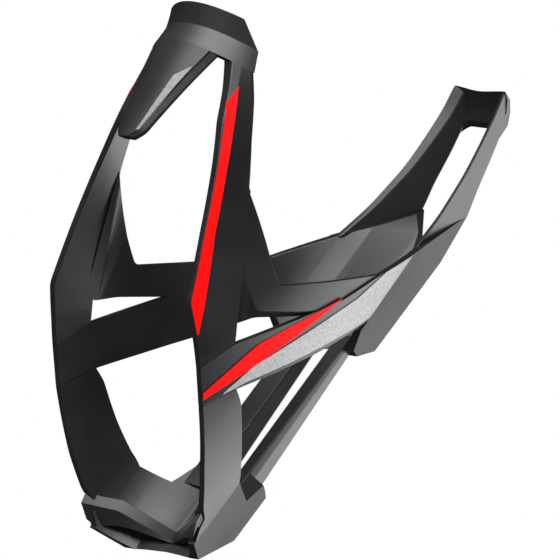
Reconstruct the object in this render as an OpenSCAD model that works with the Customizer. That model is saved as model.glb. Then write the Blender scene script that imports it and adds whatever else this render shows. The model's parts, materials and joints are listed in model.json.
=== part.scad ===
// Bottle cage for a bicycle frame, worked out round the bottle it grips.
// While it is being shaped the bottle's axis is the Z axis, -Y is the open front and
// z = 0 is the lower bolt. cage() then moves it so that the origin is on the frame's
// mounting plane, midway between the two bolts. Right is +X.

/* [Bottle] */
// Bore of the cage, which the bottle's body fills
bottle_d = 74; // [62:1:89]
// Thickness of the wrapped walls
wall = 2.2; // [1.8:0.1:3]

/* [Frame bolts] */
// Distance between the two frame bolts
bolt_spacing = 64; // [54:1:77]
// Clearance hole for an M5 frame bolt
bolt_d = 5.3; // [5:0.1:6.4]
// Seat for the head of a frame bolt
bolt_head_d = 10.4; // [9:0.1:12.5]
// Distance from the bore to the mounting plane
standoff = 6.5; // [5.5:0.1:7.8]
// Thickness of the pads under the bolt heads
pad_t = 3; // [2.4:0.1:3.6]
// Half width of the flat on the back of each pad
pad_half_w = 8; // [7:0.1:9.6]

/* [Collar] */
// Height of the seam between collar and arms
collar_z = 75.2; // [68:0.1:84]
// Height of the collar's straight part above that seam
collar_h = 5; // [4.2:0.1:6]
// Height of the flared lip above the straight part
lip_h = 4.8; // [4:0.1:5.8]
// How far the lip flares out
lip_flare = 1.8; // [1.5:0.1:2.2]
// Length of the front tongue below the collar
tongue_len = 25; // [20:0.5:30]
// Half width of the tongue at its tip
tongue_tip_w = 7.1; // [6:0.1:8.5]
// Inward lean of the tongue, in degrees
tongue_lean = 10; // [6:0.5:12]

/* [Arms and side bars] */
// Height of the knee in the arms' front edges
knee_z = 22.4; // [18.7:0.1:26.8]
// Height of the upper side bars' low corner
bar_z = 31.4; // [28:0.1:33]
// Depth of the upper side bars at that corner
bar_depth = 7.5; // [6.2:0.1:9]
// Thickness of the stripes laid on the arms and wings
stripe_t = 0.2; // [0.1:0.05:0.4]

/* [Rear frame] */
// Height of the top of the rear loop
loop_z = 115.4; // [108:0.1:135]
// Half width of the rear loop at its top
loop_half_w = 12.4; // [10.4:0.1:14.8]
// Half width of the open slot between the rails
slot_half_w = 5.6; // [4.7:0.1:6.7]
// Width of each rail
rail_w = 8.4; // [7:0.1:10]

/* [Bottom] */
// Depth of the shelf's top below the lower bolt
shelf_drop = 9.5; // [8:0.1:11.4]
// Depth of the feet under the shelf
foot_h = 7; // [5.8:0.1:8.4]

/* [Hidden] */
inner_r = bottle_d / 2;
outer_r = inner_r + wall;
plane_y = inner_r + standoff;     // mounting plane
pad_y = plane_y - pad_t;          // bolt heads bear here
far = 200;                        // longer than any cut
$fn = 96;

// A corner of a wrapped member: a is the angle round from the front, z the height.
// at() reads it on the bore, skin() on the outside
function at(a, z) = [-inner_r * cos(a), z];
function skin(a, z) = [-outer_r * cos(a), z];

// Moves the finished piece into the frame's own axes
module cage() {
    translate([0, -plane_y, -bolt_spacing / 2]) children();
}

// Cuts a side view, whose points are [y, z], through everything to the right of x
module side_cut(points, x = 0) {
    translate([x, 0, 0]) rotate([90, 0, 90]) linear_extrude(far) polygon(points);
}

// Cuts a front view, whose points are [x, z], through everything ahead of y
module front_cut(points, y = 0) {
    translate([0, y, 0]) rotate([90, 0, 0]) linear_extrude(far) polygon(points);
}

// The tube that all wrapped members are cut from
module tube(r_in = inner_r, r_out = outer_r) {
    difference() {
        translate([0, 0, -far / 2]) cylinder(r = r_out, h = far * 1.5);
        translate([0, 0, -far]) cylinder(r = r_in, h = far * 3);
    }
}

// A wrapped member on the right side, from its corners in the side view
module wrapped(points, r_in = inner_r, r_out = outer_r) {
    intersection() {
        tube(r_in, r_out);
        side_cut(points);
    }
}

module right_or_left(side) {
    if (side > 0) children();
    else mirror([1, 0, 0]) children();
}

// Corners shared by the members of one side
front_top = at(27, collar_z);
back_top = skin(42.5, collar_z);
knee = at(70, knee_z);
bar_root = skin(65.3, 51.7);
bar_inner_root = skin(77.5, 38.3);
bar_low = skin(91.3, bar_z);
bar_meet = at(109, 39.4);
bar_end = at(130.5, 59);
wing_front_top = at(87, 12.3);
wing_front_low = at(97.8, 5.1);
wing_top = skin(94.7, 22.4);
wing_low = skin(104.8, 15.1);
wing_rear_low = skin(124.2, 36);
rear_low = at(146.5, 48);
rear_top = at(146.5, 72);

// Rear frame, in its own side view: points are [y, z], measured back from the bore
block_front = [rear_top[0], rear_top[1]];              // where the legs leave the wings
leg_back = [inner_r + 3.1, 88];
leg_gap = 10.3;                                        // half the gap between their lower corners
leg_x = 21.6;                                          // a leg's outside, there
loop_tip = [inner_r - 8.3, loop_z];
loop_back = [inner_r - 3.5, loop_z - 1.6];
loop_sill = [inner_r - 2.6, loop_z - 6.4];
mount_top = 70.5;
mount_low = 50.5;
block_side_x = sqrt(outer_r * outer_r - pow(block_front[0], 2));   // the wing's outside, there
foot_y = -inner_r * cos(138.5);                        // seam between lower arms and lower mount
foot_x = sqrt(outer_r * outer_r - foot_y * foot_y);
foot_low = -shelf_drop - foot_h;                       // underside of the feet
foot_back = [inner_r - 2.7, foot_low];                 // the back wall slopes from here up to
pad_low = [plane_y, -4.8];                             // the lower bolt's pad
shelf_edge = [[29.2, 23], [20.9, 27.1], [6.6, 35]];    // right half of the shelf's front edge

// ---- members ----

module collar_solid() {
    top = collar_z + collar_h + lip_h;
    intersection() {
        rotate_extrude()
            polygon([[inner_r, collar_z], [outer_r, collar_z], [outer_r, collar_z + collar_h],
                     [outer_r + lip_flare, top], [inner_r + lip_flare + 0.4, top],
                     [inner_r, collar_z + collar_h]]);
        translate([-far / 2, 0, 0])
            side_cut([[-far, collar_z], back_top, skin(39, collar_z + collar_h),
                      [-(outer_r + lip_flare) * cos(28.5), top], [-far, top]]);
    }
}

module collar() {
    color("#3a3a3c") cage() collar_solid();
}

// The tongue leans in from the collar's lower edge, about a line along X
module tongue() {
    tip = collar_z - tongue_len;
    root_w = inner_r * sin(25);
    color("#3a3a3c") cage()
        intersection() {
            translate([0, -outer_r, collar_z]) rotate([tongue_lean, 0, 0])
                translate([0, outer_r, -collar_z])
                    intersection() {
                        tube();
                        front_cut([[root_w, collar_z + 3], [tongue_tip_w, tip + 2],
                                   [tongue_tip_w - 3, tip], [3 - tongue_tip_w, tip],
                                   [-tongue_tip_w, tip + 2], [-root_w, collar_z + 3]]);
                    }
            translate([-far / 2, -far, collar_z - far]) cube([far, far, far]);
        }
}

module arm(side) {
    color("#2f2f31") cage() right_or_left(side)
        wrapped([front_top, knee, wing_front_top, wing_top, skin(89.7, 26), bar_inner_root, bar_root,
                 skin(55.1, 61.8), skin(47.6, 70), back_top]);
}

module side_bar(side) {
    color("#2f2f31") cage() right_or_left(side)
        wrapped([bar_root, bar_inner_root, bar_low, bar_meet, bar_end,
                 skin(107.9, bar_z + bar_depth + 9.4), skin(93.5, bar_z + bar_depth),
                 skin(84.7, bar_z + 11.1), skin(72.9, 48.9)]);
}

module wing(side) {
    color("#4a4a4c") cage() right_or_left(side)
        wrapped([wing_front_top, wing_front_low, wing_low, wing_rear_low, rear_low, rear_top, bar_end,
                 bar_meet, wing_top]);
}

module lower_arm(side) {
    foot_z = -shelf_drop - 2.3;
    color("#4a4a4c") cage() right_or_left(side)
        wrapped([wing_front_low, at(113.5, -3.6), at(129, foot_z + 0.6), at(138.5, foot_z - 3.8),
                 [foot_y, 1.3], skin(128, 4.4), skin(117.1, 9.1), skin(109.3, 13), wing_low]);
}

// A leg is a flat plate, swung round and tipped in, cut to its side view
module leg_plate(side) {
    right_or_left(side)
        intersection() {
            translate([leg_x, block_front[0], block_front[1]]) rotate([0, -10.8, 30.5])
                translate([-wall, -far / 2, -far / 2]) cube([wall, far, far]);
            side_cut([block_front, [inner_r - 5.8, 92.5], [inner_r - 6, loop_z - 14],
                      loop_tip, loop_back, leg_back]);
        }
}

module leg(side) {
    color("#3a3a3c") cage() leg_plate(side);
}

// The bridge joins the legs' tops and turns forward over the bottle's shoulder
module top_bridge() {
    color("#2a2a2c") cage()
        difference() {
            intersection() {
                translate([-far / 2, 0, 0])
                    side_cut([loop_tip, loop_sill, loop_sill + [1.8, -0.2], loop_back]);
                front_cut([[-loop_half_w - 2, loop_z + 1], [loop_half_w + 2, loop_z + 1],
                           [loop_half_w + 2, 0], [-loop_half_w - 2, 0]], plane_y);
            }
            for (side = [1, -1]) leg_outside(side);
        }
}

// Everything from a leg's inner face outwards
module leg_outside(side) {
    right_or_left(side)
        translate([leg_x, block_front[0], block_front[1]]) rotate([0, -10.8, 30.5])
            translate([-wall, -far / 2, -far / 2]) cube([far, far, far]);
}

// The upper mount: a channel behind the bottle, its web the upper bolt's pad
module upper_mount() {
    back = [[pad_half_w, plane_y], [block_side_x, block_front[0]]];
    inside = [for (p = back) p - [wall * 1.25, wall * 1.1]];
    color("#3a3a3c") cage()
        difference() {
            intersection() {
                linear_extrude(far) polygon(both_sides(back));
                translate([-far / 2, 0, 0])
                    side_cut([block_front, [block_front[0], 48], [inner_r - 2.8, 44.2],
                              [inner_r + 0.5, 44.8], [plane_y, mount_low], [plane_y, mount_top + 6],
                              leg_back]);
            }
            cylinder(r = inner_r, h = far);
            linear_extrude(far) intersection() {
                polygon(both_sides([inside[0], inside[1], [inside[1][0], 0]]));
                translate([-far / 2, 0]) square([far, pad_y]);
            }
            // the foot of the loop's window, a vee between the legs' lower corners
            front_cut([[0, mount_top + 3], [leg_gap, leg_back[1]], [leg_gap, far],
                       [-leg_gap, far], [-leg_gap, leg_back[1]]], far);
            bolt_hole(bolt_spacing);
        }
}

// A plan outline from its right half, given from the back forwards
function both_sides(half) = concat(half, [for (i = [len(half) - 1 : -1 : 0]) [-half[i][0], half[i][1]]]);

// An M5 clearance hole with a seat for the bolt's head
module bolt_hole(z) {
    translate([0, 0, z]) rotate([-90, 0, 0]) cylinder(d = bolt_d, h = far);
    translate([0, 0, z]) rotate([-90, 0, 0]) cylinder(d = bolt_head_d, h = pad_y);
}

// A rail, tapering towards the top, with its outer back edge taken off
module rail(side) {
    face_y = inner_r - 3;
    outside = slot_half_w + rail_w;
    color("#4a4a4c") cage() right_or_left(side)
        intersection() {
            linear_extrude(far)
                polygon([[outside, face_y], [outside, face_y + 2.6], [outside - 3.4, face_y + 5.5],
                         [slot_half_w, face_y + 5.5], [slot_half_w, face_y + 1.2]]);
            translate([-far / 2, 0, 0])
                side_cut([[face_y, 8], [face_y, 44.2], [inner_r + 0.6, 44.2], [inner_r + 2.6, 8]]);
        }
}

// The lower mount: the wall behind the bottle's foot, with the lower bolt's pad
module lower_mount() {
    neck = slot_half_w + rail_w;
    color("#3a3a3c") cage()
        difference() {
            intersection() {
                translate([0, 0, foot_low]) linear_extrude(far)
                    polygon(both_sides([[pad_half_w, plane_y], [foot_x, foot_y]]));
                translate([-far / 2, 0, 0])
                    side_cut([[foot_y, foot_low], foot_back, pad_low, [plane_y, 7.7],
                              [inner_r + 3.6, 8], [foot_y, 8]]);
                front_cut([[-foot_x, foot_low], [foot_x, foot_low], [foot_x, 1.3], [neck + 3, 1.8],
                           [neck, 8], [-neck, 8], [-neck - 3, 1.8], [-foot_x, 1.3]], plane_y + 1);
            }
            translate([0, 0, -far / 2]) cylinder(r = inner_r, h = far);
            bolt_hole(0);
        }
}

// The shelf: what the bottle stands on. Its front edge runs back from both arms, and it
// has a foot at each side with a pocket between them that is open below
module shelf() {
    top = -shelf_drop;
    shelf_t = 2.8;
    color("#2a2a2c") cage()
        difference() {
            intersection() {
                translate([0, 0, foot_low]) cylinder(r = inner_r, h = foot_h);
                linear_extrude(far, center = true)
                    polygon(both_sides(concat([[far, far]], shelf_edge)));
                translate([-far / 2, 0, 0])
                    side_cut([[22, top], [22, top - 2.6], [28.6, foot_low], foot_back, pad_low]);
            }
            translate([0, 0, foot_low - 1]) linear_extrude(foot_h - shelf_t + 1)
                polygon(both_sides([[20, foot_back[0]], [15.5, 24]]));
            // the back wall's lower edge rises a little between the feet
            front_cut([[-10, foot_low - 1], [-10, foot_low], [0, foot_low + 1.5], [10, foot_low],
                       [10, foot_low - 1]], plane_y);
        }
}

// ---- stripes laid on the outside ----

module stripe(side, points) {
    right_or_left(side) wrapped(points, outer_r, outer_r + stripe_t);
}

module arm_stripe(side) {
    color("red") cage()
        stripe(side, [skin(39.3, 66.2), skin(38.4, 70.6), skin(52.9, 54.8), skin(69.8, 31.5),
                      skin(79.6, 17.6), skin(71.6, 22.9), skin(57.8, 41.1)]);
}

module wing_stripe(side) {
    color("red") cage()
        stripe(side, [skin(93.6, 8.4), skin(96.3, 6.4), skin(98.8, 9.3), skin(103.8, 21.6),
                      skin(117.5, 47.6), skin(100.3, 26.9)]);
}

module wing_panel(side) {
    color("silver") cage()
        stripe(side, [skin(100.4, 11.7), skin(104.7, 15.3), skin(111.6, 22.8), skin(122.4, 34.3),
                      skin(138, 49.6), skin(137.6, 67), skin(126.4, 58.2), skin(124.4, 51.2),
                      skin(104.2, 21.6)]);
}

// A slim flash on the tongue's right half, laid on the leaning face
module tongue_flash() {
    color("silver") cage()
        translate([0, -outer_r, collar_z]) rotate([tongue_lean, 0, 0]) translate([0, outer_r, -collar_z])
            intersection() {
                tube(outer_r, outer_r + stripe_t);
                front_cut([[5.6, collar_z - 23], [8, collar_z - 8.3], [11, collar_z - 5.5],
                           [6.6, collar_z - 22.4]]);
            }
}

module arm_right() arm(1);
module arm_left() arm(-1);
module side_bar_right() side_bar(1);
module side_bar_left() side_bar(-1);
module wing_right() wing(1);
module wing_left() wing(-1);
module lower_arm_right() lower_arm(1);
module lower_arm_left() lower_arm(-1);
module leg_right() leg(1);
module leg_left() leg(-1);
module rail_right() rail(1);
module rail_left() rail(-1);
module arm_stripe_right() arm_stripe(1);
module arm_stripe_left() arm_stripe(-1);
module wing_stripe_right() wing_stripe(1);
module wing_stripe_left() wing_stripe(-1);
module wing_panel_right() wing_panel(1);
module wing_panel_left() wing_panel(-1);

collar();
tongue();
arm_right();
arm_left();
side_bar_right();
side_bar_left();
wing_right();
wing_left();
lower_arm_right();
lower_arm_left();
leg_right();
leg_left();
top_bridge();
upper_mount();
rail_right();
rail_left();
lower_mount();
shelf();
arm_stripe_right();
arm_stripe_left();
wing_stripe_right();
wing_stripe_left();
wing_panel_right();
wing_panel_left();
tongue_flash();
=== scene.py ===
import json
import math

import bmesh
import bpy
import numpy as np
from mathutils import Matrix, Vector


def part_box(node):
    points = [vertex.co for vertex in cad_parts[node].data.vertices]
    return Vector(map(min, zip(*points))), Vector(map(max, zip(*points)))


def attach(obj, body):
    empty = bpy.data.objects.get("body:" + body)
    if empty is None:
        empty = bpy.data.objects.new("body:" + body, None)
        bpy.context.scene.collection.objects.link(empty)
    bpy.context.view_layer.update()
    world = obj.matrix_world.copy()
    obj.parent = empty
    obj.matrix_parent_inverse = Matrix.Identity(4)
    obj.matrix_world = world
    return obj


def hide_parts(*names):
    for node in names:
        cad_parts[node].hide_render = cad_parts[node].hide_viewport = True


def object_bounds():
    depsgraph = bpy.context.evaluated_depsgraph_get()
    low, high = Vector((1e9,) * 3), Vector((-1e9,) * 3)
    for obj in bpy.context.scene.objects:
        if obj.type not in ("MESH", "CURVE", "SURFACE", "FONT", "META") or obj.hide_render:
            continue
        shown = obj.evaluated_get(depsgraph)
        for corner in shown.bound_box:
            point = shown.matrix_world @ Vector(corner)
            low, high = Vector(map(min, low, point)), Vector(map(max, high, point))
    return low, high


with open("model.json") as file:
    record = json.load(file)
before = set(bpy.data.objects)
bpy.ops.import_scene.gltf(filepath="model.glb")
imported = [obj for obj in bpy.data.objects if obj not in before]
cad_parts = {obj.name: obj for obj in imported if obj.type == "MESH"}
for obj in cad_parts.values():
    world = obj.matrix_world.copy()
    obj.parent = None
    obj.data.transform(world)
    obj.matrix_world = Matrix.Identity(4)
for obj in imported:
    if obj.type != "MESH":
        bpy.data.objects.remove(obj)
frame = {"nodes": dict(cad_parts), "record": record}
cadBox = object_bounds()
print("frame loaded")

# the cage's own axes, in millimetres: the bottle's axis is x = y = 0, the open front is -y
# and z = 0 is the lower frame bolt
mounts = {m["name"]: m for m in frame["record"]["mounts"]}
boreR = mounts["bottle_bore"]["dims"]["r_mm"]
axisY = mounts["bottle_bore"]["pos_m"][1] * 1000
boltGap = mounts["frame_bolts"]["dims"]["spacing_y_mm"]
lowBolt = -boltGap / 2
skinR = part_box("wing_right")[1].x * 1000           # outside of the wrapped members
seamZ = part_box("arm_right")[1].z * 1000 - lowBolt  # where the arms meet the collar
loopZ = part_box("leg_right")[1].z * 1000 - lowBolt  # top of the rear loop


def toFrame(points):
    # the cage's own millimetres to metres in the frame
    return (np.asarray(points, float) + (0, axisY, lowBolt)) / 1000


def smoothPath(corners, radius=1.0, steps=6, arc=4):
    # polylines with rounded inner corners: each corner is cut back by radius on both sides,
    # but by no more than 0.4 of the shorter run, and bridged by a quadratic curve in arc
    # parts; what is left of a run is in steps parts. corners is (rails, corners, dims)
    c = np.asarray(corners, float)
    run = c[:, 1:] - c[:, :-1]
    length = np.maximum(np.linalg.norm(run, axis=2, keepdims=True), 1e-6)
    unit = run / length
    cut = np.minimum(radius, 0.4 * np.minimum(length[:, :-1], length[:, 1:]))
    before = c[:, 1:-1] - unit[:, :-1] * cut
    after = c[:, 1:-1] + unit[:, 1:] * cut
    starts = np.concatenate([c[:, :1], after], axis=1)
    ends = np.concatenate([before, c[:, -1:]], axis=1)
    u = np.linspace(0, 1, arc + 1)[1:-1, None]
    v = np.linspace(0, 1, steps + 1)[:, None]
    parts = []
    for i in range(c.shape[1] - 1):
        parts.append(starts[:, i, None] + (ends[:, i, None] - starts[:, i, None]) * v)
        if i < c.shape[1] - 2:
            parts.append((1 - u) ** 2 * before[:, i, None] + 2 * u * (1 - u) * c[:, i + 1, None]
                         + u ** 2 * after[:, i, None])
    return np.concatenate(parts, axis=1)


def onTube(path, side=1):
    # a path of (y, z, radius) laid on upright cylinders: x = side * sqrt(radius^2 - y^2),
    # where x stays at least 0.1 off the middle
    y, z, r = np.moveaxis(path, -1, 0)
    return np.stack([side * np.sqrt(np.maximum(r * r - y * y, 0.01)), y, z], axis=-1)


# an edge shows where faces turn by more than sharp degrees, and is rounded in segments
edges = {"sharp": 24.0, "segments": 3}


def showPiece(name, mesh, material, nodes, bevel, weights):
    # smooth but for its sharp edges, which are rounded by bevel millimetres times the share
    # that weights(a, b) gives the edges between the vertices a and b; it shows in place of nodes
    mesh.materials.clear()
    mesh.materials.append(material)
    mesh.polygons.foreach_set("use_smooth", np.ones(len(mesh.polygons), bool))
    mesh.set_sharp_from_angle(angle=math.radians(edges["sharp"]))
    piece = bpy.data.objects.new(name, mesh)
    bpy.context.scene.collection.objects.link(piece)
    if bevel:
        ends = np.zeros(len(mesh.edges) * 2, np.int32)
        mesh.edges.foreach_get("vertices", ends)
        share = weights(*ends.reshape(-1, 2).T)
        layer = mesh.attributes.new("bevel_weight_edge", "FLOAT", "EDGE")
        layer.data.foreach_set("value", share.astype(np.float32))
        mod = piece.modifiers.new("edges", "BEVEL")
        mod.width = bevel / 1000
        mod.segments = edges["segments"]
        mod.limit_method = "WEIGHT"
        mod.harden_normals = True
    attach(piece, "root")
    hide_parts(*nodes)


def loft(name, rails, material, nodes, slot, bevel, sharp=None, caps=(0, 0), bare=None):
    # a closed solid between rails (count, stations, 3) in cage millimetres: neighbours are
    # joined by quads all the way round and both ends are capped. sharp is the bevel share of
    # each rail, caps that of the two end outlines, and bare(k, n) picks the stretches of rail
    # k after station n that stay unbevelled
    count, stations = rails.shape[:2]
    k = np.arange(count)[:, None]
    n = np.arange(stations - 1)[None]
    a, b = k * stations + n, (k + 1) % count * stations + n
    faces = np.stack([a, a + 1, b + 1, b], axis=-1).reshape(-1, 4).tolist()
    faces += [(k[:, 0] * stations).tolist(), (k[:, 0] * stations + stations - 1).tolist()]
    sharp = np.ones(count) if sharp is None else np.asarray(sharp, float)
    mesh = bpy.data.meshes.new(name)
    mesh.from_pydata(toFrame(rails.reshape(-1, 3)).tolist(), [], faces)
    bm = bmesh.new()
    bm.from_mesh(mesh)
    bmesh.ops.recalc_face_normals(bm, faces=bm.faces)
    bm.to_mesh(mesh)
    bm.free()

    def weights(i, j):
        ki, kj, ni, nj = i // stations, j // stations, i % stations, j % stations
        share = np.where(ki == kj, sharp[ki], 0.0)
        share = np.where((ni == 0) & (nj == 0), caps[0], share)
        share = np.where((ni == stations - 1) & (nj == stations - 1), caps[1], share)
        if bare is not None:
            share = np.where(bare(ki, np.minimum(ni, nj)) & (ki == kj), 0.0, share)
        return share

    showPiece(name, mesh, material, nodes, bevel, weights)


def srgb(code):
    # a hex colour as the linear values that shaders expect
    values = [int(code[i:i + 2], 16) / 255 for i in (1, 3, 5)]
    return tuple(v / 12.92 if v <= 0.04045 else ((v + 0.055) / 1.055) ** 2.4 for v in values) + (1,)


def addNode(tree, kind, links=None, **settings):
    # one shader node: settings go to its sockets by name, or to the node itself
    node = tree.nodes.new(kind)
    for key, value in settings.items():
        if key in node.inputs:
            node.inputs[key].default_value = value
        else:
            setattr(node, key, value)
    for socket, source in (links or {}).items():
        tree.links.new(source, node.inputs[socket])
    return node


def newMaterial(name):
    # a material with an empty node tree
    mat = bpy.data.materials.new(name)
    mat.use_nodes = True
    mat.node_tree.nodes.clear()
    return mat, mat.node_tree


def ramp(tree, source, band, first, second):
    # a colour that goes from first to second as source crosses the band
    node = addNode(tree, "ShaderNodeValToRGB", {"Fac": source})
    for element, place, code in zip(node.color_ramp.elements, band, (first, second)):
        element.position = place
        element.color = srgb(code)
    return node.outputs["Color"]


# the materials' sizes are in millimetres, and a band is the stretch of a pattern's values
# over which a colour or the gloss goes from its first value to its second

# moulded carbon-filled composite: a satin near-black skin. A 0.35 mm mould grain, drawn
# a little coarser than the real one so that it shows, breaks the gloss; slow changes of
# tone and gloss over some 20 mm are the flow of the resin
composite = {"dark": "#18181a", "light": "#232326", "toneBand": (0.35, 0.7), "rough": (0.36, 0.46),
             "roughBand": (0.3, 0.7), "grain": 0.35, "flow": 20.0, "bump": 0.06, "depth": 0.2,
             "ior": 1.52}


def makeComposite(c=composite):
    mat, tree = newMaterial("satin_moulded_composite")
    place = addNode(tree, "ShaderNodeTexCoord").outputs["Object"]
    grain = addNode(tree, "ShaderNodeTexNoise", {"Vector": place}, Scale=1000 / c["grain"], Detail=3.0)
    flow = addNode(tree, "ShaderNodeTexNoise", {"Vector": place}, Scale=1000 / c["flow"], Detail=2.0)
    colour = ramp(tree, flow.outputs["Fac"], c["toneBand"], c["dark"], c["light"])
    gloss = zip(("From Min", "From Max", "To Min", "To Max"), c["roughBand"] + c["rough"])
    rough = addNode(tree, "ShaderNodeMapRange", {"Value": flow.outputs["Fac"]}, **dict(gloss))
    bump = addNode(tree, "ShaderNodeBump", {"Height": grain.outputs["Fac"]}, Strength=c["bump"],
                   Distance=c["depth"] / 1000)
    skin = addNode(tree, "ShaderNodeBsdfPrincipled", {"Base Color": colour,
                   "Roughness": rough.outputs["Result"], "Normal": bump.outputs["Normal"]}, IOR=c["ior"])
    addNode(tree, "ShaderNodeOutputMaterial", {"Surface": skin.outputs["BSDF"]})
    return mat


# screen-printed red film under a thin clear coat: flat, strong and even, with the
# faintest mottling of the ink
redFilm = {"red": "#ff0c0a", "deep": "#f20606", "band": (0.3, 0.7), "mottle": 1.2, "rough": 0.6,
           "shine": 0.12, "bump": 0.03, "depth": 0.1, "ior": 1.5}


def makeRed(c=redFilm):
    mat, tree = newMaterial("printed_red_film")
    place = addNode(tree, "ShaderNodeTexCoord").outputs["Object"]
    mottle = addNode(tree, "ShaderNodeTexNoise", {"Vector": place}, Scale=1000 / c["mottle"], Detail=2.0)
    colour = ramp(tree, mottle.outputs["Fac"], c["band"], c["deep"], c["red"])
    bump = addNode(tree, "ShaderNodeBump", {"Height": mottle.outputs["Fac"]}, Strength=c["bump"],
                   Distance=c["depth"] / 1000)
    ink = addNode(tree, "ShaderNodeBsdfPrincipled", {"Base Color": colour,
                  "Normal": bump.outputs["Normal"]}, Roughness=c["rough"], IOR=c["ior"],
                  **{"Specular IOR Level": c["shine"]})
    addNode(tree, "ShaderNodeOutputMaterial", {"Surface": ink.outputs["BSDF"]})
    return mat


# silver paint film: aluminium flakes of about 0.3 mm in clear lacquer give it a fine
# sparkle, so it is partly metallic with a speckled tone
silverFilm = {"pale": "#a4a4a5", "grey": "#8a8a8c", "band": (0.1, 0.9), "flake": 0.3, "metal": 0.3,
              "rough": 0.55, "bump": 0.05, "depth": 0.1}


def makeSilver(c=silverFilm):
    mat, tree = newMaterial("silver_flake_paint")
    place = addNode(tree, "ShaderNodeTexCoord").outputs["Object"]
    flakes = addNode(tree, "ShaderNodeTexVoronoi", {"Vector": place}, Scale=1000 / c["flake"])
    tone = addNode(tree, "ShaderNodeSeparateColor", {"Color": flakes.outputs["Color"]})
    colour = ramp(tree, tone.outputs["Red"], c["band"], c["grey"], c["pale"])
    bump = addNode(tree, "ShaderNodeBump", {"Height": tone.outputs["Green"]}, Strength=c["bump"],
                   Distance=c["depth"] / 1000)
    paint = addNode(tree, "ShaderNodeBsdfPrincipled", {"Base Color": colour,
                    "Normal": bump.outputs["Normal"]}, Roughness=c["rough"], Metallic=c["metal"])
    addNode(tree, "ShaderNodeOutputMaterial", {"Surface": paint.outputs["BSDF"]})
    return mat


satin, red, silver = makeComposite(), makeRed(), makeSilver()
print("materials made")

sides = (("right", 1), ("left", -1))


def member(name, rows, radii, side, node, material=satin, slot="satin_composite", corner=1.2,
           **options):
    # a wrapped member: rows are edge lines of (y, z) or (y, z, lift) corners, one for each
    # line of its section, and radii says how far from the bottle's axis each line runs
    rails = [[(*c[:2], r + sum(c[2:])) for c in row] for row, r in zip(rows, radii)]
    loft(name, onTube(smoothPath(rails, corner), side), material, [node], slot, **options)


# an arm: a front facet that carries the stripe, a crease that stands proud, and a side
# facet; the inside follows the bottle
arm = {
    "front": [(-33.0, seamZ), (-30.6, 68.5), (-28.4, 61.5), (-24.4, 51.8), (-19.0, 38.0),
              (-12.6, 22.4), (-6.6, 16.9), (-1.94, 12.3)],
    "crease": [(-31.4, seamZ, 0.0), (-29.3, 68.5, 0.3), (-26.5, 61.5, 0.4), (-22.4, 51.8, 0.4),
               (-16.5, 38.0, 0.4), (-9.6, 24.0, 0.25), (-5.0, 19.0, 0.0), (-0.9, 15.0, 0.0)],
    "back": [(-28.9, seamZ), (-26.0, 70.0), (-21.9, 61.8), (-16.3, 51.8), (-7.9, 36.8),
             (-0.8, 25.5), (0.4, 23.8), (1.5, 22.1)],
    "bar": (26, 40),  # the stations between which the side bar grows out of the back edge
    "bevel": 0.9,
    "sharp": [0.35, 0.3, 1, 0.35, 0.35],
}


def makeArm(side, word, a=arm):
    rows = [a["front"], a["crease"], a["back"], a["back"], a["front"]]
    radii = [skinR, skinR, skinR, boreR, boreR]
    first, last = a["bar"]

    def atSideBar(k, n):
        # the outer back edge stays bare from the bar to its end, the inner one along the bar
        return ((k == 2) & (n > first)) | ((k == 3) & (n > first) & (n < last))

    member("arm_" + word + "_skin", rows, radii, side, "arm_" + word, sharp=a["sharp"],
           bevel=a["bevel"], bare=atSideBar)


# an upper side bar: a vee between the arm and the wing, a little lower than both, whose
# lower edge is a wide slope down to the inside
sideBar = {
    "top": [(-18.0, 53.4), (-16.3, 51.8), (-3.9, 42.8), (1.9, 39.2), (11.0, 47.3), (22.6, 58.1),
            (24.6, 60.0)],
    "low": [(-9.6, 39.5), (-7.9, 36.8), (-3.4, 33.6), (0.9, 31.0), (10.6, 38.2), (20.0, 46.0),
            (24.0, 52.0)],
    "lowInside": [(-4.0, 26.5), (-1.2, 25.9), (0.8, 28.0), (3.1, 30.5), (10.9, 36.9),
                  (20.0, 46.0), (24.0, 52.0)],
    "drop": 0.5,   # its outside below the arm's
    "step": 0.03,  # its inside behind the arm's
    "bevel": 0.3,
}


def makeSideBar(side, word, b=sideBar):
    rows = [b["top"], b["low"], b["lowInside"], b["top"]]
    outside, inside = skinR - b["drop"], boreR + b["step"]
    member("side_bar_" + word + "_skin", rows, [outside, outside, inside, inside], side,
           "side_bar_" + word, bevel=b["bevel"])


# a wing: the broad band that carries stripe and panel from the arm to the rear block
wing = {
    "top": [(-1.94, 12.3), (1.5, 22.1), (10.0, 35.1), (18.5, 48.1), (23.4, 58.7), (31.2, 72.5)],
    "low": [(4.5, 5.8), (9.0, 14.6), (14.9, 23.6), (22.0, 34.8), (27.0, 43.5), (31.2, 51.5)],
    "bevel": 0.3,
}


def makeWing(side, word, w=wing):
    rows = [w["top"], w["low"], w["low"], w["top"]]
    member("wing_" + word + "_skin", rows, [skinR, skinR, boreR, boreR], side, "wing_" + word,
           bevel=w["bevel"], caps=(1, 0))


# a lower arm: from the wing down and back to the foot
lowerArm = {
    "front": [(4.5, 5.8), (10.2, 0.5), (15.9, -4.8), (22.5, -10.2), (25.2, -11.2), (25.8, -13.6),
              (27.9, -16.3)],
    "back": [(9.0, 14.6), (12.0, 13.4), (19.3, 7.5), (24.9, 3.4), (26.0, 2.8), (27.0, 2.0),
             (27.9, 1.2)],
    "bevel": 0.3,
}


def makeLowerArm(side, word, a=lowerArm):
    rows = [a["front"], a["back"], a["back"], a["front"]]
    member("lower_arm_" + word + "_skin", rows, [skinR, skinR, boreR, boreR], side,
           "lower_arm_" + word, bevel=a["bevel"])


for word, side in sides:
    makeArm(side, word)
    makeSideBar(side, word)
    makeWing(side, word)
    makeLowerArm(side, word)
print("arms, bars and wings made")


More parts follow.
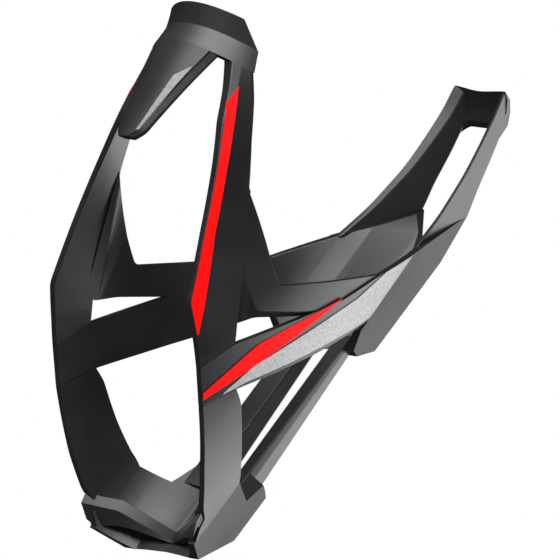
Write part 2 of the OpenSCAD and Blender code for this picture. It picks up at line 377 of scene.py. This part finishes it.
# the two red stripes and the silver panel are films on the outside of arm and wing, each
# from a little above the skin to a little below it
film = {"above": 0.12, "below": 0.25, "corner": 0.6}
armStripe = {"front": [(-29.9, 66.2), (-24.15, 51.8), (-18.75, 38.0), (-12.35, 22.7), (-7.0, 17.7)],
             "back": [(-29.9, 70.6, 0.3), (-22.8, 52.6, 0.45), (-17.0, 38.5, 0.45),
                      (-10.0, 24.6, 0.35), (-6.8, 17.9, 0.15)]}
wingStripe = {"top": [(2.6, 8.4), (6.5, 25.6), (11.1, 35.0), (18.0, 47.8)],
              "low": [(3.6, 7.1), (9.3, 21.8), (13.5, 33.3), (17.9, 47.4)]}
wingPanel = {"top": [(6.7, 11.6), (9.0, 21.3), (15.5, 36.0), (21.9, 50.7), (24.6, 60.4), (29.2, 68.6)],
             "low": [(6.9, 11.5), (10.0, 17.5), (16.8, 28.3), (23.0, 38.6), (27.6, 46.4), (30.4, 51.5)]}


def makeFilm(name, first, second, side, material, slot, node, f=film):
    radii = [skinR + f["above"]] * 2 + [skinR - f["below"]] * 2
    member(name, [first, second, second, first], radii, side, node, material, slot, f["corner"], bevel=0)


for word, side in sides:
    makeFilm("red_stripe_arm_" + word, armStripe["front"], armStripe["back"], side, red, "red_film",
             "arm_stripe_" + word)
    makeFilm("red_stripe_wing_" + word, wingStripe["top"], wingStripe["low"], side, red, "red_film",
             "wing_stripe_" + word)
    makeFilm("silver_panel_wing_" + word, wingPanel["top"], wingPanel["low"], side, silver,
             "silver_film", "wing_panel_" + word)
print("films laid")


# the collar with its flared lip: three lines round its outside, each with its own end angle
# in degrees, and three round its inside. The lip leans out above the fold and thins upwards
collar = {"height": 5.0, "lip": 4.8, "flare": 1.8, "thin": 0.4, "ends": (42.5, 39.0, 28.5),
          "steps": 40, "bevel": 0.9, "sharp": [0, 0.3, 0.4, 0.4, 0, 0]}


def makeCollar(c=collar):
    # a line is (r sin a, -r cos a, z) for a from -end to end; an inside line ends at the same
    # depth as the outside line R at its height, so the cosine of its end is R cos(end) / r
    fold = seamZ + c["height"]
    ends = np.radians(c["ends"])
    outer = list(zip((skinR, skinR, skinR + c["flare"]), (seamZ, fold, fold + c["lip"]), ends))
    inner = [(r, z, math.acos(outside * math.cos(end) / r)) for r, (outside, z, end)
             in zip((boreR, boreR, boreR + c["flare"] + c["thin"]), outer)]
    share = np.linspace(-1, 1, c["steps"] + 1)
    rails = [np.stack([r * np.sin(end * share), -r * np.cos(end * share), np.full_like(share, z)],
                      axis=-1) for r, z, end in outer + inner[::-1]]
    loft("collar_with_lip", np.array(rails), satin, ["collar"], "satin_composite", c["bevel"],
         c["sharp"], caps=(1, 1))


# the tongue: a tapering leaf hinged on the collar's lower edge that leans in; its face is
# bordered by a groove and a sloped rim. Its half outline is corners of (x, z from the hinge),
# and each half is crossed, from its edge in, by lines of (inset, depth under the face)
tongue = {"outline": [(17.0, 0.0), (7.1, -23.0), (4.1, -25.0)], "corner": 1.2, "lean": 10.0,
          "across": [(0.0, 0.45), (1.8, 0.05), (2.05, 0.35), (2.3, 0.0)], "faceLines": 13,
          "undercut": 1.6, "back": 0.2, "backLines": 9, "bevel": 0.2}


def onTongue(x, drop, radius):
    # the point x, drop on the upright cylinder of that radius, turned by the lean about the
    # hinge line at the front of the skin
    lean = math.radians(tongue["lean"])
    y = skinR - np.sqrt(np.maximum(radius * radius - x * x, 0))
    return np.stack([x, y * math.cos(lean) - drop * math.sin(lean) - skinR,
                     y * math.sin(lean) + drop * math.cos(lean) + seamZ], axis=-1)


def makeTongue(t=tongue):
    half, drop = smoothPath([t["outline"]], t["corner"], steps=8)[0].T
    across = [(inset, skinR - depth) for inset, depth in t["across"]]
    face, back = half - across[-1][0], half - t["undercut"]
    lines = [(half - inset, r) for inset, r in across]
    lines += [(face * f, skinR) for f in np.linspace(1, -1, t["faceLines"])[1:-1]]
    lines += [(-(half - inset), r) for inset, r in across[::-1]]
    lines += [(back * f, boreR + t["back"]) for f in np.linspace(-1, 1, t["backLines"])]
    rails = np.array([onTongue(x, drop, r) for x, r in lines])
    sharp = np.zeros(len(lines))
    sharp[[0, len(lines) - t["backLines"] - 1]] = 1
    loft("front_tongue", rails, satin, ["tongue"], "satin_composite", t["bevel"], sharp, caps=(0, 1))


# a silver flash on the right half of the tongue, between two straight edges whose ends are
# (x, z from the hinge)
flash = {"left": [(4.2, -23.2), (7.8, -8.3)], "right": [(5.3, -22.8), (12.2, -5.2)], "steps": 11}


def makeFlash(f=flash):
    share = np.linspace(0, 1, f["steps"] + 1)[:, None]
    left, right = (np.array(a) * (1 - share) + np.array(b) * share for a, b in (f["left"], f["right"]))
    above, below = skinR + film["above"], skinR - film["below"]
    rails = [onTongue(*line.T, r) for line, r in
             ((left, above), (right, above), (right, below), (left, below))]
    loft("silver_flash", np.array(rails), silver, ["tongue_flash"], "silver_film", bevel=0)


makeCollar()
makeTongue()
makeFlash()
print("collar and tongue made")


# a rear leg: its outside is one flat plane that leans in, and its front face widens upwards
# and slopes back to the inside. Edge lines are corners of (y, z), and each corner of the
# front one has the width of the front face and how far that face slopes back; backFace is
# the same two for the whole of the back edge
leg = {
    "root": (21.6, 30.85, 72.0),
    "normal": (0.846, 0.498, 0.187),
    "front": [(30.85, 72.0), (31.9, 82.0), (32.0, 94.0), (31.1, 102.5), (30.1, 109.5), (28.7, loopZ)],
    "back": [(40.1, 88.0), (39.6, 90.0), (38.5, 94.0), (36.8, 102.3), (35.3, 108.3), (33.9, 113.5)],
    "width": [2.2, 2.3, 2.8, 3.3, 3.8, 4.2],
    "setBack": [0.1, 0.5, 0.8, 1.1, 1.3, 1.2],
    "backFace": (2.3, -0.2),
    "corner": 3.0,
    "bevel": 0.5,
}


def makeLeg(side, word, g=leg):
    # x = x0 - (ny (y - y0) + nz (z - z0)) / nx - inward, for the plane's root and normal
    x0, y0, z0 = g["root"]
    nx, ny, nz = g["normal"]

    def onPlane(line, inward=0, setBack=0):
        y, z = np.array(line).T
        x = x0 - (y - y0) * (ny / nx) - (z - z0) * (nz / nx) - inward
        return np.stack([side * x, y + setBack, z], axis=-1)

    rails = [onPlane(g["front"]), onPlane(g["back"]), onPlane(g["back"], *g["backFace"]),
             onPlane(g["front"], np.array(g["width"]), np.array(g["setBack"]))]
    loft("leg_" + word + "_skin", smoothPath(rails, g["corner"], steps=4, arc=5), satin,
         ["leg_" + word], "satin_composite", g["bevel"], caps=(0, 1))


# the bridge across the legs' tops: its face curls forward over the bottle's shoulder and its
# top sags a little. Its section is corners of (y, z, half length); the two of the sill are
# numbered, and drop towards the legs to round the window's upper corners
bridge = {"section": [(28.7, loopZ, 13.3), (30.9, 114.3, 12.6), (32.9, 112.2, 11.7), (34.3, 109.6, 10.7),
                      (35.9, 109.0, 10.3), (35.7, 110.6, 10.2), (34.2, 113.2, 10.4), (32.0, 115.2, 11.2)],
          "sill": (3, 4), "sag": 0.7, "drop": 2.4, "dropFrom": 0.62, "steps": 24, "bevel": 0.4,
          "sharp": [1, 0, 0, 1, 1, 0, 0, 0.6]}


def makeBridge(b=bridge):
    # at s from -1 to 1 along it: x = half s and z = z0 - sag cos^2(s pi / 2), but on the sill
    # z = z0 - drop t^2, where t runs from 0 at dropFrom to 1 at the leg
    share = np.linspace(-1, 1, b["steps"] + 1)
    drop = b["drop"] * np.clip((np.abs(share) - b["dropFrom"]) / (1 - b["dropFrom"]), 0, 1) ** 2
    sag = b["sag"] * np.cos(share * math.pi / 2) ** 2
    rails = [np.stack([half * share, np.full_like(share, y), z - (drop if i in b["sill"] else sag)],
                      axis=-1) for i, (y, z, half) in enumerate(b["section"])]
    loft("bridge_curl", np.array(rails), satin, ["top_bridge"], "satin_composite", b["bevel"],
         b["sharp"])


# a rail between the mounts: a plan with corners of (x, y) carried from low to high, its
# depth behind the face times a share that shrinks evenly: y = face + (y0 - face) share
rail = {"plan": [(14.0, 34.0), (13.6, 36.0), (11.4, 39.5), (5.6, 39.5), (5.6, 35.2)], "face": 34.0,
        "low": 3.0, "high": 48.0, "share": (1.04, 0.62), "steps": 12, "bevel": 0.35}


def makeRail(side, word, r=rail):
    z = np.linspace(r["low"], r["high"], r["steps"] + 1)
    share = np.linspace(*r["share"], r["steps"] + 1)
    rails = [np.stack([np.full_like(z, side * x), r["face"] + (y - r["face"]) * share, z], axis=-1)
             for x, y in r["plan"]]
    loft("rail_" + word + "_skin", np.array(rails), satin, ["rail_" + word], "satin_composite",
         r["bevel"])


# the shelf under the bottle: lines of (x, y, z) corners from the middle out to an arm, each
# mirrored in x: the top and foot of a rim that dips in a vee, the lip under it, the pocket's
# ceiling, its wall's foot, and the foot and top of the back
shelf = {
    "bevel": 0.3,
    "sharp": [1, 1, 0.7, 0, 0, 0.7, 0, 0],
    "lines": {
        "rimTop": [(0, 34.2, -10.3), (9, 31.1, -9.4), (13.8, 29.5, -8.9), (14.4, 29.2, -8.8),
                   (20, 27.3, -8.2), (26, 25.2, -9.3), (30.9, 23.1, -10.2)],
        "rimLow": [(0, 34.9, -12.5), (9, 31.6, -11.9), (13.8, 29.9, -11.6), (14.4, 29.6, -11.5),
                   (20, 27.6, -11.1), (26, 25.5, -12.0), (30.7, 23.6, -12.8)],
        "lip": [(0, 35.0, -13.1), (9, 32.1, -13.4), (13.8, 30.7, -13.6), (14.4, 30.5, -13.6),
                (20, 29.2, -14.2), (25.5, 28.0, -16.0), (28.2, 26.2, -15.5)],
        "ceilingFront": [(0, 35.1, -13.1), (9, 32.5, -13.1), (13.8, 31.1, -13.1), (14.4, 30.9, -13.1),
                         (20, 29.6, -13.2), (25.5, 27.1, -13.3), (29.5, 25.1, -13.4)],
        "ceilingBack": [(0, 35.2, -13.1), (9, 34.4, -13.1), (13.8, 34.2, -13.1), (14.4, 34.0, -13.1),
                        (20, 31.0, -13.1), (25.5, 27.2, -13.2), (29.5, 25.2, -13.3)],
        "wallLow": [(0, 35.1, -15.5), (9, 34.3, -16.2), (13.8, 34.25, -16.5), (14.4, 34.1, -13.3),
                    (20, 31.1, -13.3), (25.5, 27.3, -13.3), (29.5, 25.3, -13.3)],
        "backLow": [(0, 37.2, -12.8), (9, 36.1, -14.2), (13.8, 34.6, -16.1), (14.4, 34.4, -13.2),
                    (20, 31.4, -13.2), (25.5, 27.4, -13.2), (29.5, 25.4, -13.2)],
        "backTop": [(0, 37.2, -9.6), (9, 36.1, -9.6), (13.8, 34.6, -9.6), (14.4, 34.4, -9.6),
                    (20, 31.4, -9.6), (26, 26.8, -9.8), (30.0, 24.9, -10.2)],
    },
}


def makeShelf(s=shelf):
    halves = np.array(list(s["lines"].values()), float)
    rails = np.concatenate([halves[:, :0:-1] * (-1, 1, 1), halves], axis=1)
    loft("shelf_with_rim", smoothPath(rails, steps=3), satin, ["shelf"], "satin_composite",
         s["bevel"], s["sharp"])


# the two mounts keep the shape of their CAD node: each gets a copy with its loose triangles
# merged, its flat areas joined and its sharp edges rounded, but for the edges in front of
# seamY, where arms, wings and shelf join on
mountBlocks = {"upper_mount": {"bevel": 0.3, "seamY": 31.0}, "lower_mount": {"bevel": 0.6, "seamY": 28.0}}
merge = {"gap": 0.002, "flat": 0.5}  # millimetres and degrees


def makeMountBlock(node, bevel, seamY):
    copy = frame["nodes"][node].data.copy()
    bm = bmesh.new()
    bm.from_mesh(copy)
    bmesh.ops.remove_doubles(bm, verts=bm.verts, dist=merge["gap"] / 1000)
    bmesh.ops.dissolve_limit(bm, angle_limit=math.radians(merge["flat"]), verts=bm.verts, edges=bm.edges)
    bm.to_mesh(copy)
    bm.free()

    def weights(a, b):
        # one for a sharp edge with an end behind the seam, nought for the others
        sharp = np.zeros(len(copy.edges), bool)
        copy.attributes["sharp_edge"].data.foreach_get("value", sharp)
        place = np.zeros(len(copy.vertices) * 3)
        copy.vertices.foreach_get("co", place)
        y = place[1::3] * 1000 - axisY
        return sharp & (np.maximum(y[a], y[b]) >= seamY)

    showPiece(node + "_moulded", copy, satin, [node], bevel, weights)


for word, side in sides:
    makeLeg(side, word)
    makeRail(side, word)
makeBridge()
makeShelf()
for node, block in mountBlocks.items():
    makeMountBlock(node, **block)
print("rear frame made")


# the studio, in metres and watts: a pale floor far below, soft boxes in front and behind that
# show as reflections, and two more, above and to the right, that only light the diffuse. The
# world is white to the camera and nearly dark to the cage, so that its faces read by the boxes
studio = {"floorDrop": 3.5, "floorSize": 24.0, "floor": "#f2f2f2", "floorRough": 0.7,
          "white": 1.0, "dim": 0.03, "boxes": [
              # name, direction from the cage, distance, size, power, whether reflections show it
              ("front", (-0.33, -0.90, 0.28), 1.1, (0.8, 0.7), 11.0, True),
              ("back", (0.20, 0.95, 0.30), 1.1, (1.5, 0.9), 17.0, True),
              ("above", (0.0, 0.1, 1.0), 1.2, (1.2, 1.2), 12.0, False),
              ("fill", (1.0, -0.45, 0.1), 1.4, (1.5, 1.5), 27.0, False)]}


def makeStudio(s=studio):
    middle = sum((Vector(c) for c in cadBox), Vector()) / 2
    mat, tree = newMaterial("pale_floor_paint")
    paint = addNode(tree, "ShaderNodeBsdfPrincipled", Roughness=s["floorRough"],
                    **{"Base Color": srgb(s["floor"])})
    addNode(tree, "ShaderNodeOutputMaterial", {"Surface": paint.outputs["BSDF"]})
    half, low = s["floorSize"] / 2, cadBox[0][2] - s["floorDrop"]
    mesh = bpy.data.meshes.new("floor")
    corners = [(x * half, y * half, low) for x, y in ((-1, -1), (1, -1), (1, 1), (-1, 1))]
    mesh.from_pydata(corners, [], [(0, 1, 2, 3)])
    mesh.materials.append(mat)
    floor = bpy.data.objects.new("floor", mesh)
    bpy.context.scene.collection.objects.link(floor)
    for name, direction, distance, size, power, shine in s["boxes"]:
        light = bpy.data.lights.new(name + "_softbox", "AREA")
        light.shape = "RECTANGLE"
        light.size, light.size_y = size
        light.energy = power
        lamp = bpy.data.objects.new(name + "_softbox", light)
        way = Vector(direction).normalized()
        lamp.location = middle + way * distance
        lamp.rotation_euler = way.to_track_quat("Z", "Y").to_euler()
        lamp.visible_camera = False
        lamp.visible_glossy = shine
        bpy.context.scene.collection.objects.link(lamp)
    world = bpy.data.worlds.new("studio")
    world.use_nodes = True
    tree = world.node_tree
    tree.nodes.clear()
    seen = addNode(tree, "ShaderNodeLightPath").outputs["Is Camera Ray"]
    dim = addNode(tree, "ShaderNodeBackground", Color=(1, 1, 1, 1), Strength=s["dim"])
    bright = addNode(tree, "ShaderNodeBackground", Color=(1, 1, 1, 1), Strength=s["white"])
    both = addNode(tree, "ShaderNodeMixShader", {"Fac": seen})
    tree.links.new(dim.outputs[0], both.inputs[1])
    tree.links.new(bright.outputs[0], both.inputs[2])
    addNode(tree, "ShaderNodeOutputWorld", {"Surface": both.outputs[0]})
    bpy.context.scene.world = world
    bpy.context.scene.view_settings.view_transform = "Standard"


# a long lens far off, in metres but for its sensor in millimetres: a narrow view from the
# cage's right, a little in front and below, rolled so that the cage leans. width is what the
# view spans at the cage
camera = {"right": (0.4353, 0.6878, 0.5809), "up": (-0.0615, -0.6210, 0.7814),
          "aim": (0.01624, -0.03285, 0.0139), "distance": 6.0, "width": 0.12764, "sensor": 36.0,
          "clip": (0.5, 60.0)}


def makeCamera(c=camera):
    right, up = Vector(c["right"]).normalized(), Vector(c["up"]).normalized()
    back = right.cross(up).normalized()
    up = back.cross(right)
    data = bpy.data.cameras.new("camera")
    data.sensor_width = c["sensor"]
    data.lens = c["sensor"] * c["distance"] / c["width"]
    data.clip_start, data.clip_end = c["clip"]
    eye = bpy.data.objects.new("camera", data)
    turn = Matrix((right, up, back)).transposed().to_4x4()
    eye.matrix_world = Matrix.Translation(Vector(c["aim"]) + back * c["distance"]) @ turn
    bpy.context.scene.collection.objects.link(eye)
    bpy.context.scene.camera = eye


makeStudio()
makeCamera()
print("studio and camera set")
